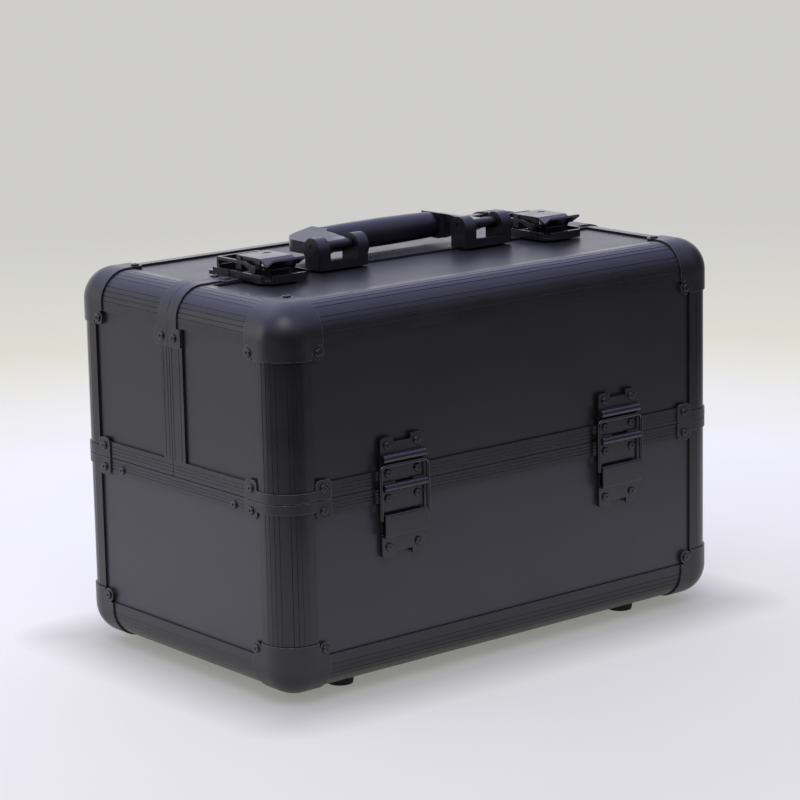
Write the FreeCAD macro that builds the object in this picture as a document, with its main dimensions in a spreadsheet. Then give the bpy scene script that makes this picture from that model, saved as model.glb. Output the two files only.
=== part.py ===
import FreeCAD, Part
import math
import os
import re

# Sewing box with trays: an aluminium-framed case whose two lid halves fold outward from
# a split along the middle of its top, each carrying two cantilever trays with it.
# Frame: origin under the middle of the feet, +X along the long side, +Y to the rear, +Z up, mm.

V = FreeCAD.Vector
X = V(1, 0, 0)
Y = V(0, 1, 0)
Z = V(0, 0, 1)

SIZES = {
    "case_length": 365,
    "case_depth": 219.2,
    "base_height": 122,
    "lid_height": 120,
    "feet_height": 6,
    "parting": 0.25,
    "lid_split": 3.5,
    "frame_width": 24.4,
    "frame_radius": 20,
    "skin": 1.4,
    "panel": 4,
    "lip": 6.8,
    "slot_depth": 4,
    "groove_size": 0.3,
    "groove_first": 6.6,
    "groove_pitch": 3.3,
    "board_slack": 0.1,
    "pad_margin": 2,
    "pad_thickness": 3,
    "rim_upper": 10.5,
    "rim_lower": 9.8,
    "stile_width": 13.5,
    "rear_stile_width": 9.5,
    "cap_reach": 33,
    "cap_wall": 1.1,
    "ear_place": 29,
    "plate_wall": 1,
    "rivet_radius": 2.7,
    "foot_inset_x": 38,
    "foot_inset_y": 4,
    "hinge_place": 91,
    "hinge_half_width": 17,
    "hinge_offset": 3.6,
    "knuckle_radius": 2.6,
    "leaf": 1.5,
    "latch_place": 116,
    "handle_place": 61,
    "bar_reach": 35.5,
    "bar_drop": 3.2,
    "bar_radius": 8.6,
    "grip_length": 93,
    "pivot_level": 130,
    "inner_pivot": 68,
    "outer_pivot": 88,
    "arm_lower": 15,
    "arm_upper": 56,
    "arm_width": 10,
    "arm_inner_face": 169.5,
    "arm_thickness": 2,
    "tray_length": 332,
    "tray_width": 98.5,
    "tray_height": 37.5,
    "tray_level": 140,
    "tray_pitch": 41,
    "tray_wall": 2.2,
    "divider": 1.6,
    "tray_gap": 2,
    "pin_radius": 2,
    "running_fit": 0.05,
}

doc = FreeCAD.newDocument("sewing_box")
sheet = doc.addObject("Spreadsheet::Sheet", "dims")
for row, (alias, value) in enumerate(SIZES.items(), 1):
    sheet.set(f"A{row}", alias)
    sheet.set(f"B{row}", str(value))
    sheet.setAlias(f"B{row}", alias)
doc.recompute()


def mm(alias):
    """A driving dimension, read from the sheet."""
    return float(sheet.get(alias))


def bind(target, prop, text):
    """Binds a property to an expression whose plain words are cells of the sheet."""
    cells = re.sub(r"[a-z]+(?:_[a-z]+)*", lambda word: "dims." + word.group(), text)
    target.setExpression(prop, cells)


HALF_LENGTH = mm("case_length") / 2
HALF_DEPTH = mm("case_depth") / 2
BOTTOM = mm("feet_height")
SPLIT = BOTTOM + mm("base_height")
TOP = SPLIT + mm("lid_height")
RADIUS = mm("frame_radius")
WIDTH = mm("frame_width")
SKIN = mm("skin")
LIP = mm("lip")
SLOT = SKIN + mm("panel")
PARTING = mm("parting")
HINGE_Y = HALF_DEPTH + mm("hinge_offset")

nodes = {}


# ---------------------------------------------------------------- building blocks


def box(name, size, place):
    """A Part box; size and place are three expressions each."""
    piece = doc.addObject("Part::Box", name)
    for prop, text in zip(("Length", "Width", "Height"), size):
        bind(piece, prop, text)
    for prop, text in zip("xyz", place):
        bind(piece, "Placement.Base." + prop, text)
    return piece


def extruded(name, outline, length, place, across, up):
    """A padded sketch: outline x and y run along across and up, and the pad along their cross product."""
    body = doc.addObject("PartDesign::Body", name)
    sketch = body.newObject("Sketcher::SketchObject", name + "_outline")
    plane = [f for f in body.Origin.OriginFeatures if f.Role == "XY_Plane"][0]
    sketch.AttachmentSupport = [(plane, "")]
    sketch.MapMode = "FlatFace"
    for edge in outline:
        sketch.addGeometry(edge, False)
    pad = body.newObject("PartDesign::Pad", name + "_pad")
    pad.Profile = sketch
    bind(pad, "Length", length)
    body.Tip = pad
    body.Placement = FreeCAD.Placement(place, FreeCAD.Rotation(across, up, across.cross(up), "XYZ"))
    return body


def mirrored(piece, normal):
    """A mirror image of a piece across the middle plane with this normal."""
    image = doc.addObject("Part::Mirroring", piece.Name + "_mirrored")
    image.Source = piece
    image.Normal = normal
    return image


def pair(piece, normal=X):
    """A piece and its mirror image."""
    return [piece, mirrored(piece, normal)]


def four(piece):
    """A piece and its images at the case's other three corners."""
    return [image for half in pair(piece, Y) for image in pair(half, X)]


def node(name, pieces):
    """Names the sub-part made of these separate solids."""
    if len(pieces) == 1:
        result = pieces[0]
    else:
        result = doc.addObject("Part::Compound", name + "_group")
        result.Links = pieces
    result.Label = name
    nodes[name] = result
    return result


def feature(name, shape):
    """A shape made with Part's own functions."""
    piece = doc.addObject("Part::Feature", name)
    piece.Shape = shape
    return piece


def polygon(points):
    """Line segments through points, closed."""
    closed = points[1:] + points[:1]
    return [Part.LineSegment(V(*a, 0), V(*b, 0)) for a, b in zip(points, closed)]


def block(low, high):
    """A box shape between two corners."""
    low, high = V(*low), V(*high)
    span = high - low
    return Part.makeBox(span.x, span.y, span.z, low)


def rod(radius, start, end):
    """A round bar between two points."""
    start, end = V(*start), V(*end)
    return Part.makeCylinder(radius, (end - start).Length, start, end - start)


def prism(outline, direction, length):
    """A straight prism on a flat outline of points."""
    return Part.Face(Part.makePolygon(outline + outline[:1])).extrude(direction * length)


def rounded(shape, radius, choose):
    """Fillets the edges that a test picks out."""
    return shape.makeFillet(radius, [edge for edge in shape.Edges if choose(edge)])


def along(axis):
    """A test for straight edges that run along an axis."""

    def test(edge):
        if not isinstance(edge.Curve, Part.Line):
            return False
        return abs(abs(edge.Curve.Direction.dot(axis)) - 1) < 1e-6

    return test


# ---------------------------------------------------------------- aluminium sections


def edge_outline():
    """Section of the rounded edge rail: a curved skin with grooves and two panel slots.

    The outer faces lie on x = 0 and y = 0 and the case is towards +x and +y."""
    grooves = [mm("groove_first") + step * mm("groove_pitch") for step in range(4)]
    half_width = mm("groove_size")
    flat = WIDTH - RADIUS

    def on_skin(distance, depth=0.0):
        """Point at a distance round the skin from its tip on y = 0, and a depth below it."""
        if distance <= flat:
            return V(WIDTH - distance, depth, 0)
        angle = (distance - flat) / RADIUS
        return V(RADIUS, RADIUS, 0) - V(math.sin(angle), math.cos(angle), 0) * (RADIUS - depth)

    def smooth(start, end):
        """Edges of the skin between two distances."""
        corner = min(end, flat)
        found = [Part.LineSegment(on_skin(start), on_skin(corner))] if start < flat else []
        bend = max(start, flat)
        if end > bend:
            found.append(Part.Arc(on_skin(bend), on_skin((bend + end) / 2), on_skin(end)))
        return found

    def swapped(point):
        return V(point.y, point.x, 0)

    half = []
    reached = 0.0
    for distance in grooves:
        bottom = on_skin(distance, depth=half_width)
        half += smooth(reached, distance - half_width)
        half.append(Part.LineSegment(on_skin(distance - half_width), bottom))
        half.append(Part.LineSegment(bottom, on_skin(distance + half_width)))
        reached = distance + half_width
    here = on_skin(reached)
    diagonal = V(1, 1, 0) * RADIUS * (1 - math.sqrt(0.5))
    edges = half + [Part.Arc(here, diagonal, swapped(here))]
    for edge in reversed(half):
        start, end = swapped(edge.EndPoint), swapped(edge.StartPoint)
        if isinstance(edge, Part.LineSegment):
            edges.append(Part.LineSegment(start, end))
        else:
            middle = edge.value((edge.FirstParameter + edge.LastParameter) / 2)
            edges.append(Part.Arc(start, swapped(middle), end))
    floor = WIDTH - mm("slot_depth")
    inner = RADIUS - SKIN
    web = floor - SKIN
    skin_at_web = RADIUS - math.sqrt(inner ** 2 - (RADIUS - web) ** 2)
    side = [(0, WIDTH), (SKIN, WIDTH), (SKIN, floor), (SLOT, floor), (SLOT, WIDTH), (LIP, WIDTH)]
    side += [(LIP, web), (skin_at_web, web)]
    corners = [V(*point, 0) for point in side]
    back = [swapped(point) for point in reversed(corners)]
    edges += [Part.LineSegment(a, b) for a, b in zip(corners, corners[1:])]
    edges.append(Part.Arc(corners[-1], V(1, 1, 0) * (RADIUS - inner * math.sqrt(0.5)), back[0]))
    edges += [Part.LineSegment(a, b) for a, b in zip(back, back[1:])]
    return edges


def channel_outline(height, lines, tongue=0.0, hollow=0.0):
    """Section of a flat rail: x is depth into the case and y runs towards the panel's slot.

    lines are the heights of its outer grooves; tongue stands below y = 0 and hollow receives one."""
    groove = mm("groove_size")
    floor = height - mm("slot_depth")
    points = [(0, 0)]
    for line in lines:
        points += [(0, line - groove), (groove, line), (0, line + groove)]
    points += [(0, height), (SKIN, height), (SKIN, floor), (SLOT, floor), (SLOT, height)]
    points += [(LIP, height), (LIP, 0)]
    tongue_near, tongue_far, slack = 2.6, 4.2, 0.5
    if tongue:
        points += [(tongue_far, 0), (tongue_far, -tongue), (tongue_near, -tongue), (tongue_near, 0)]
    if hollow:
        near, far = tongue_near - slack, tongue_far + slack
        points += [(far, 0), (far, hollow), (near, hollow), (near, 0)]
    return polygon(points)


# ---------------------------------------------------------------- base of the case


def base_frame():
    """Rounded rails round the bottom, corner posts and the rim that the lids close on."""
    length_run = "case_length - 2 * frame_width"
    depth_run = "case_depth - 2 * frame_width"
    front = extruded("bottom_rail_front", edge_outline(), length_run,
                     V(-HALF_LENGTH + WIDTH, -HALF_DEPTH, BOTTOM), Y, Z)
    left = extruded("bottom_rail_left", edge_outline(), depth_run,
                    V(-HALF_LENGTH, HALF_DEPTH - WIDTH, BOTTOM), X, Z)
    node("base_bottom_rails", pair(front, Y) + pair(left))
    post = extruded("base_post", edge_outline(), "base_height - frame_width - parting",
                    V(-HALF_LENGTH, -HALF_DEPTH, BOTTOM + WIDTH), X, Y)
    node("base_corner_posts", four(post))
    lines = (2.4, 4.4, 6.4)
    outline = channel_outline(mm("rim_lower") - PARTING, lines, tongue=1.8)
    front = extruded("base_rim_front", outline, length_run,
                     V(HALF_LENGTH - WIDTH, -HALF_DEPTH, SPLIT - PARTING), Y, -Z)
    left = extruded("base_rim_left", outline, depth_run,
                    V(-HALF_LENGTH, -HALF_DEPTH + WIDTH, SPLIT - PARTING), X, -Z)
    node("base_rim_rails", pair(front, Y) + pair(left))


def base_panels():
    """Laminated boards held in the rails' slots, and the foam pad on the floor."""
    edge = "(frame_width - slot_depth + board_slack)"
    depth = "(skin + board_slack / 2)"
    thick = "(panel - board_slack)"
    tall = f"base_height - {edge} - rim_lower + slot_depth - board_slack"
    level = f"feet_height + {edge}"
    long_size = (f"case_length - 2 * {edge}", thick, tall)
    front_place = (f"-case_length / 2 + {edge}", f"-case_depth / 2 + {depth}", level)
    node("base_long_panels", pair(box("base_front_board", long_size, front_place), Y))
    end_size = (thick, f"case_depth - 2 * {edge}", tall)
    end_place = (f"-case_length / 2 + {depth}", f"-case_depth / 2 + {edge}", level)
    node("base_end_panels", pair(box("base_left_board", end_size, end_place)))
    floor_size = (f"case_length - 2 * {edge}", f"case_depth - 2 * {edge}", thick)
    floor_place = (f"-case_length / 2 + {edge}", f"-case_depth / 2 + {edge}", f"feet_height + {depth}")
    node("base_floor_panel", [box("base_floor_board", floor_size, floor_place)])
    inset = "(frame_width + pad_margin)"
    pad_size = (f"case_length - 2 * {inset}", f"case_depth - 2 * {inset}", "pad_thickness")
    pad_place = (f"-case_length / 2 + {inset}", f"-case_depth / 2 + {inset}", "feet_height + lip")
    node("floor_pad", [box("floor_foam", pad_size, pad_place)])


def rounded_corner(offset, reach):
    """A box corner at the origin, rounded like the case and grown outward by an offset."""
    solid = Part.makeBox(reach + offset, reach + offset, reach + offset, V(-offset, -offset, -offset))
    edges = []
    for edge in solid.Edges:
        ends = [vertex.Point for vertex in edge.Vertexes]
        if any((point - V(-offset, -offset, -offset)).Length < 1e-6 for point in ends):
            edges.append(edge)
    return solid.makeFillet(RADIUS + offset, edges)


def corner_cap():
    """Pressed ball corner with one riveted ear on each of its three faces."""
    wall = mm("cap_wall")
    reach = mm("cap_reach")
    ear = mm("ear_place")
    ear_radius = 4.5
    web_inset = 6.0
    shell = rounded_corner(wall, 50).cut(rounded_corner(0.0, 60))
    low = -2 * wall
    high = RADIUS / 4
    strips = [block((low, low, low), (reach, WIDTH, WIDTH))]
    strips.append(block((low, low, low), (WIDTH, reach, WIDTH)))
    strips.append(block((low, low, low), (WIDTH, WIDTH, reach)))
    mask = strips[0].multiFuse(strips[1:])
    ears = []
    for outward, first, second in ((Z, X, Y), (Y, X, Z), (X, Y, Z)):
        diagonal = first + second
        centre = diagonal * ear
        web = diagonal * (WIDTH - web_inset)
        slab = block(tuple(web + outward * low), tuple(centre + outward * high))
        mask = mask.fuse(slab).fuse(rod(ear_radius, centre + outward * low, centre + outward * high))
        face = centre - outward * wall / 2
        ears.append(rod(ear_radius, face, centre + outward * (SKIN + 0.05)))
    return shell.common(mask).multiFuse(ears).removeSplitter()


def placed(shape, corner, flips):
    """A corner-shaped solid moved to a case corner, mirrored on the axes it must face back along."""
    for normal in flips:
        shape = shape.mirror(V(0, 0, 0), normal)
    moved = shape.copy()
    moved.translate(V(*corner))
    return moved


def caps():
    """Ball corners: four below and two on each lid."""
    shape = corner_cap()
    low = feature("bottom_cap", placed(shape, (-HALF_LENGTH, -HALF_DEPTH, BOTTOM), []))
    high = feature("top_cap", placed(shape, (-HALF_LENGTH, -HALF_DEPTH, TOP), [Z]))
    node("base_corner_caps", four(low))
    front = pair(high)
    node("front_lid_corner_caps", front)
    node("rear_lid_corner_caps", [mirrored(image, Y) for image in front])


def rim_plate(level, height, ear_height, upward):
    """Flat plate bent round a post at the rim, with an ear for one rivet at each end."""
    wall = mm("plate_wall")
    reach = 36.5
    ear_start = WIDTH + 0.3
    ear_round = 3.5
    overlap = 3.0
    beyond = 2.0

    def bent(offset):
        """A tall block whose outer upright edge is rounded like the post."""
        solid = block((-offset, -offset, 0), (60, 60, ear_height))
        near = V(-offset, -offset, 0)

        def outer(edge):
            return along(Z)(edge) and (edge.Vertexes[0].Point - near).cross(Z).Length < 1e-6

        return rounded(solid, RADIUS + offset, outer)

    shell = bent(wall).cut(bent(0.0))
    mask = block((-beyond, -beyond, 0), (reach, WIDTH, height))
    mask = mask.fuse(block((-beyond, -beyond, 0), (WIDTH, reach, height)))
    for first, second in ((X, Y), (Y, X)):
        low = first * ear_start - second * beyond
        high = first * reach + second * beyond
        ear = block(tuple(low), tuple(high + Z * ear_height))
        ear = rounded(ear, ear_round, lambda e: along(second)(e) and e.CenterOfMass.z > ear_height - 0.1)
        bridge = block(tuple(low - first * overlap), tuple(high + Z * height))
        mask = mask.fuse(ear).fuse(bridge)
    plate = shell.common(mask).removeSplitter()
    flips = [] if upward else [Z]
    return placed(plate, (-HALF_LENGTH, -HALF_DEPTH, level), flips)


def rim_plates():
    """Corner plates of the base rim and of each lid's rim."""
    low = feature("lower_rim_plate", rim_plate(SPLIT - PARTING, 6.2, 11.5, upward=False))
    high = feature("upper_rim_plate", rim_plate(SPLIT + PARTING, 6.2, 12.5, upward=True))
    node("base_rim_corner_plates", four(low))
    front = pair(high)
    node("front_lid_rim_corner_plates", front)
    node("rear_lid_rim_corner_plates", [mirrored(image, Y) for image in front])


def feet():
    """Turned rubber feet with a recess for their screw."""
    foot = doc.addObject("Part::Cone", "foot_cone")
    foot.Radius1 = 8
    foot.Radius2 = 9
    bind(foot, "Height", "feet_height")
    recess = doc.addObject("Part::Cylinder", "foot_recess")
    recess.Radius = 3.5
    bind(recess, "Height", "feet_height / 2")
    for piece in (foot, recess):
        bind(piece, "Placement.Base.x", "-case_length / 2 + frame_width + foot_inset_x")
        bind(piece, "Placement.Base.y", "-case_depth / 2 + frame_width + foot_inset_y")
    turned = doc.addObject("Part::Cut", "foot")
    turned.Base = foot
    turned.Tool = recess
    node("feet", four(turned))


# ---------------------------------------------------------------- lids


def lid(side, reach, stile, flip):
    """One lid half, built as the front one and mirrored to the rear when flip is set.

    reach is 1 where the lid passes the middle plane and -1 where it stops short of it;
    stile is the cell with the width of the flat rails along the parting."""
    inner_y = reach * mm("lid_split") - PARTING
    inner = f"({reach} * lid_split - parting)"
    name = side + "_lid"
    long_run = "case_length - 2 * frame_width"
    depth_run = f"case_depth / 2 - frame_width + {inner}"

    def finish(pieces):
        return [mirrored(piece, Y) for piece in pieces] if flip else pieces

    front = extruded(name + "_long_rail", edge_outline(), long_run,
                     V(HALF_LENGTH - WIDTH, -HALF_DEPTH, TOP), Y, -Z)
    left = extruded(name + "_end_rail", edge_outline(), depth_run,
                    V(-HALF_LENGTH, -HALF_DEPTH + WIDTH, TOP), X, -Z)
    node(name + "_edge_rails", finish([front] + pair(left)))
    post = extruded(name + "_post", edge_outline(), "lid_height - frame_width - parting",
                    V(-HALF_LENGTH, -HALF_DEPTH, SPLIT + PARTING), X, Y)
    node(name + "_corner_posts", finish(pair(post)))
    rim_lines = (2.6, 4.8, 7.0)
    outline = channel_outline(mm("rim_upper") - PARTING, rim_lines, hollow=2.4)
    front = extruded(name + "_rim_front", outline, long_run,
                     V(-HALF_LENGTH + WIDTH, -HALF_DEPTH, SPLIT + PARTING), Y, Z)
    left = extruded(name + "_rim_end", outline, depth_run,
                    V(-HALF_LENGTH, inner_y, SPLIT + PARTING), X, Z)
    node(name + "_rim_rails", finish([front] + pair(left)))
    stile_lines = (2.4, mm(stile) - 3.2)
    outline = channel_outline(mm(stile), stile_lines)
    upright = extruded(name + "_stile", outline, "lid_height - frame_width - rim_upper",
                       V(-HALF_LENGTH, inner_y, TOP - WIDTH), X, -Y)
    ridge = extruded(name + "_ridge", outline, long_run,
                     V(HALF_LENGTH - WIDTH, inner_y, TOP), -Z, -Y)
    node(name + "_stiles", finish(pair(upright) + [ridge]))
    lid_panels(name, inner, stile, finish)
    strap(name, inner_y, finish)


def lid_panels(name, inner, stile, finish):
    """Top, face and end boards of a lid."""
    edge = "(frame_width - slot_depth + board_slack)"
    depth = "(skin + board_slack / 2)"
    thick = "(panel - board_slack)"
    long_size = f"case_length - 2 * {edge}"
    tall = f"lid_height - {edge} - rim_upper + slot_depth - board_slack"
    level = "feet_height + base_height + rim_upper - slot_depth + board_slack"
    top_level = f"feet_height + base_height + lid_height - {depth} - {thick}"
    span = f"case_depth / 2 - {edge} + {inner} - {stile} + slot_depth - board_slack"
    start_x, start_y = f"-case_length / 2 + {edge}", f"-case_depth / 2 + {edge}"
    face = box(name + "_face_board", (long_size, thick, tall),
               (start_x, f"-case_depth / 2 + {depth}", level))
    end = box(name + "_end_board", (thick, span, tall),
              (f"-case_length / 2 + {depth}", start_y, level))
    top = box(name + "_top_board", (long_size, span, thick), (start_x, start_y, top_level))
    node(name + "_face_panel", finish([face]))
    node(name + "_end_panels", finish(pair(end)))
    node(name + "_top_panel", finish([top]))


def strap(name, inner_y, finish):
    """Strap bent over the end rail where the lids meet, with a wider riveted foot at each end."""
    wall = mm("plate_wall")
    down = 37.0
    over = 47.0
    narrow = 9.3
    wide = 13.0
    foot = 12.0
    foot_round = 2.5
    beyond = 2.0

    def bent(offset):
        """A long block whose upper outer edge is rounded like the rail."""
        solid = block((-offset, 0, -70), (70, 20, offset))

        def outer(edge):
            return along(Y)(edge) and (edge.CenterOfMass - V(-offset, 10, offset)).Length < 1e-6

        return rounded(solid, RADIUS + offset, outer)

    shell = bent(wall).cut(bent(0.0))
    mask = block((-beyond, 0, -down), (over, narrow, beyond))
    ear = block((-beyond, 0, -down), (beyond, wide, -down + foot))
    mask = mask.fuse(rounded(ear, foot_round, lambda e: along(X)(e) and e.CenterOfMass.y > 1))
    tip = block((over - foot, 0, -beyond), (over, wide, beyond))
    mask = mask.fuse(rounded(tip, foot_round, lambda e: along(Z)(e) and e.CenterOfMass.y > 1))
    folded = shell.common(mask).removeSplitter().mirror(V(0, 0, 0), Y)
    folded.translate(V(-HALF_LENGTH, inner_y, TOP))
    node(name + "_straps", finish(pair(feature(name + "_strap", folded))))


# ---------------------------------------------------------------- rivets


def rivet(place, outward):
    """Domed rivet head with the dimple of its mandrel."""
    height = 1.2
    dome_round = 0.8
    dimple_radius = 0.9
    dimple_depth = 0.5
    head = rod(mm("rivet_radius"), (0, 0, 0), (0, 0, height))
    head = rounded(head, dome_round, lambda e: e.CenterOfMass.z > height - 0.1 and not along(Z)(e))
    head = head.cut(rod(dimple_radius, (0, 0, height - dimple_depth), (0, 0, height + 1)))
    head.Placement = FreeCAD.Placement(V(*place), FreeCAD.Rotation(Z, outward))
    return head


def rivets():
    """Rivet heads of the base and of each lid, on caps, rim plates, straps and hinge leaves."""
    ear = mm("ear_place")
    cap = mm("cap_wall")
    plate = mm("plate_wall")
    rim_ear = 30.5
    band_ear = 49.0
    strap_column = 6.4
    strap_low, strap_far = 31.0, 41.0
    x_edge, y_edge = -HALF_LENGTH, -HALF_DEPTH

    def corner(level, inward):
        """Rivets of one ball corner, at the front left."""
        heads = [rivet((x_edge + ear, y_edge - cap, level + inward * ear), -Y)]
        heads.append(rivet((x_edge - cap, y_edge + ear, level + inward * ear), -X))
        heads.append(rivet((x_edge + ear, y_edge + ear, level - inward * cap), Z * -inward))
        return heads

    def rim(level):
        """Rivets of one rim corner plate, at the front left."""
        heads = [rivet((x_edge + rim_ear, y_edge - plate, level), -Y)]
        heads.append(rivet((x_edge - plate, y_edge + rim_ear, level), -X))
        return heads

    leaf = mm("leaf")
    column = 11.7

    def hinge(levels):
        """Rivets of one hinge leaf, on the front face."""
        heads = []
        for level in levels:
            for shift in (-column, column):
                heads.append(rivet((-mm("hinge_place") + shift, y_edge - leaf, level), -Y))
        return heads

    band = [rivet((x_edge, y_edge + band_ear, SPLIT - 6.4), -X)]
    base = corner(BOTTOM, 1) + rim(SPLIT - 6.6) + hinge((SPLIT - 7.3, SPLIT - 38)) + band
    node("base_rivets", [image for part in base for image in four(feature("base_rivet", part))])
    for side, inner_y, flip in (("front", mm("lid_split"), False), ("rear", -mm("lid_split"), True)):
        heads = corner(TOP, -1) + rim(SPLIT + 7.4) + hinge((SPLIT + 8.5, SPLIT + 26))
        heads.append(rivet((x_edge - plate, inner_y - strap_column, TOP - strap_low), -X))
        heads.append(rivet((x_edge + strap_far, inner_y - strap_column, TOP + plate), Z))
        pieces = [image for part in heads for image in pair(feature(side + "_rivet", part))]
        node(side + "_lid_rivets", [mirrored(piece, Y) for piece in pieces] if flip else pieces)


# ---------------------------------------------------------------- hinges


HINGE_PIN = 1.2
MIDDLE_KNUCKLE = 6.8


def knuckle_rod(radius, start, end):
    """A round bar on the hinge line, from start to end along x."""
    offset = mm("hinge_offset")
    return rod(radius, (start, -offset, 0), (end, -offset, 0))


def leaf_plate(low, high, lobed):
    """A leaf's plate between two levels, with a lobe at each corner of its free end at level lobed."""
    half = mm("hinge_half_width")
    leaf = mm("leaf")
    corner = 3.0
    lobe = 10.0
    notch = 3.5
    plate = block((-half, -leaf, low), (half, 0, high))
    plate = rounded(plate, corner, lambda e: along(Y)(e) and abs(e.CenterOfMass.z - lobed) < 0.1)
    gap = block((-half + lobe, -leaf - 1, lobed - notch), (half - lobe, 1, lobed + notch))
    return plate.cut(gap)


def lower_leaf():
    """Fixed hinge leaf: plate with lobed foot, raised pocket for the stay, and the middle knuckle."""
    half = mm("hinge_half_width")
    leaf = mm("leaf")
    offset = mm("hinge_offset")
    radius = mm("knuckle_radius")
    drop = 45.0
    top = -0.6
    clear = 0.1
    plate = leaf_plate(-drop, top, -drop)
    for low, high in ((-half - 1, -MIDDLE_KNUCKLE - clear), (MIDDLE_KNUCKLE + clear, half + 1)):
        plate = plate.cut(knuckle_rod(radius + 0.3, low, high))
    pocket = block((-half, -5.5, -31.4), (half, -leaf, -16.6))
    pocket = rounded(pocket, 1.2, lambda e: along(X)(e) and e.CenterOfMass.y < -5)
    pocket = pocket.cut(block((-half - 1, -4.3, -30), (half + 1, -leaf, -16)))
    knuckle = knuckle_rod(radius, -MIDDLE_KNUCKLE, MIDDLE_KNUCKLE)
    web = block((-MIDDLE_KNUCKLE, -offset, -radius), (MIDDLE_KNUCKLE, 0, top))
    bore = knuckle_rod(HINGE_PIN + mm("running_fit"), -half, half)
    return plate.multiFuse([pocket, knuckle, web]).cut(bore).removeSplitter()


def upper_leaf():
    """Moving hinge leaf: plate with lobed head, rolled ridge over the stay, and two end knuckles."""
    half = mm("hinge_half_width")
    leaf = mm("leaf")
    offset = mm("hinge_offset")
    radius = mm("knuckle_radius")
    rise = 31.0
    foot = 3.0
    start = 0.6
    clear = 0.3
    ridge_radius, ridge_out, ridge_level = 2.8, 2.6, 18.0
    plate = leaf_plate(foot, rise, rise)
    ridge = rod(ridge_radius, (-half, -ridge_out, ridge_level), (half, -ridge_out, ridge_level))
    pieces = [ridge.cut(block((-half - 1, 0, 0), (half + 1, 5, 40)))]
    for low, high in ((-half, -MIDDLE_KNUCKLE - clear), (MIDDLE_KNUCKLE + clear, half)):
        pieces.append(knuckle_rod(radius, low, high))
        pieces.append(block((low, -offset, start), (high, 0, foot + 0.2)))
    bore = knuckle_rod(HINGE_PIN + mm("running_fit"), -half - 1, half + 1)
    return plate.multiFuse(pieces).cut(bore).removeSplitter()


def stay():
    """Wire loop that hangs from the ridge and limits how far the lid folds."""
    half = mm("hinge_half_width") + 1.7
    wire = 1.3
    bar = 13.5
    foot = -20.0
    bend = 3.0
    depth = -mm("hinge_offset")
    path = [V(-half, depth, foot), V(-half, depth, bar - bend), V(-half + bend, depth, bar)]
    path += [V(half - bend, depth, bar), V(half, depth, bar - bend), V(half, depth, foot)]
    slack = bend * (1 - math.sqrt(0.5))
    left_bend = Part.Arc(path[1], V(-half + slack, depth, bar - slack), path[2])
    right_bend = Part.Arc(path[3], V(half - slack, depth, bar - slack), path[4])
    edges = [Part.LineSegment(path[0], path[1]), left_bend, Part.LineSegment(path[2], path[3])]
    edges += [right_bend, Part.LineSegment(path[4], path[5])]
    route = Part.Wire([edge.toShape() for edge in edges])
    section = Part.Wire([Part.makeCircle(wire, path[0], Z)])
    return route.makePipeShell([section], True, True)


def hinges():
    """Four hinges: two on the front face and two on the rear face."""
    place = V(-mm("hinge_place"), -HALF_DEPTH, SPLIT)

    def put(name, shape):
        shape.translate(place)
        return feature(name, shape)

    half = mm("hinge_half_width")
    pin = knuckle_rod(HINGE_PIN, -half, half)
    node("hinge_lower_leaves", four(put("lower_leaf", lower_leaf())))
    node("hinge_pins", four(put("hinge_pin", pin)))
    leaves = pair(put("upper_leaf", upper_leaf()))
    node("front_hinge_upper_leaves", leaves)
    node("rear_hinge_upper_leaves", [mirrored(leaf, Y) for leaf in leaves])
    stays = pair(put("stay", stay()))
    node("front_hinge_stays", stays)
    node("rear_hinge_stays", [mirrored(wire, Y) for wire in stays])


# ---------------------------------------------------------------- handle

HANDLE_PIVOT = V(0, -12, 14.2)
BAR = HANDLE_PIVOT + V(0, mm("bar_reach"), -mm("bar_drop"))
TONGUE_HALF = 10.9


def crossing(radius, start, end, centre=HANDLE_PIVOT):
    """A round bar along x, from start to end, through a centre."""
    return rod(radius, (start, centre.y, centre.z), (end, centre.y, centre.z))


def handle_bracket():
    """Moulded bracket: a foot with a low front sill, and two round-topped ears."""
    half = 20.0
    ear = 8.7
    floor = 2.5
    sill = 5.5
    round_radius = 8.5
    ear_centre = V(0, HANDLE_PIVOT.y, 12)
    front = ear_centre.y - round_radius
    rear = ear_centre.y + round_radius
    body = block((-half, front, 0), (half, rear, ear_centre.z))
    body = rounded(body, 2.0, along(Z))
    body = body.fuse(crossing(round_radius, -half, half, ear_centre)).removeSplitter()
    inner = half - ear
    sill_wall = 3.0
    body = body.cut(block((-inner, front + sill_wall, floor), (inner, rear + 1, 40)))
    body = body.cut(block((-inner, front - 1, sill), (inner, rear + 1, 40)))
    return body.cut(crossing(mm("pin_radius") + mm("running_fit"), -half - 1, half + 1))


def handle_plan(low, high):
    """The bow seen from above: two tongues joined by a bar with rounded elbows."""
    outer = mm("handle_place") + TONGUE_HALF
    inner = mm("handle_place") - TONGUE_HALF
    elbow_radius = 13.0
    bay_radius = 5.0
    radius = mm("bar_radius")
    solid = block((-outer, HANDLE_PIVOT.y, low), (outer, BAR.y + radius, high))
    solid = rounded(solid, elbow_radius, lambda e: along(Z)(e) and e.CenterOfMass.y > BAR.y)
    bay = block((-inner, HANDLE_PIVOT.y - 1, low - 1), (inner, BAR.y - radius, high + 1))
    bay = rounded(bay, bay_radius, lambda e: along(Z)(e) and e.CenterOfMass.y > HANDLE_PIVOT.y)
    return solid.cut(bay)


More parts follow.
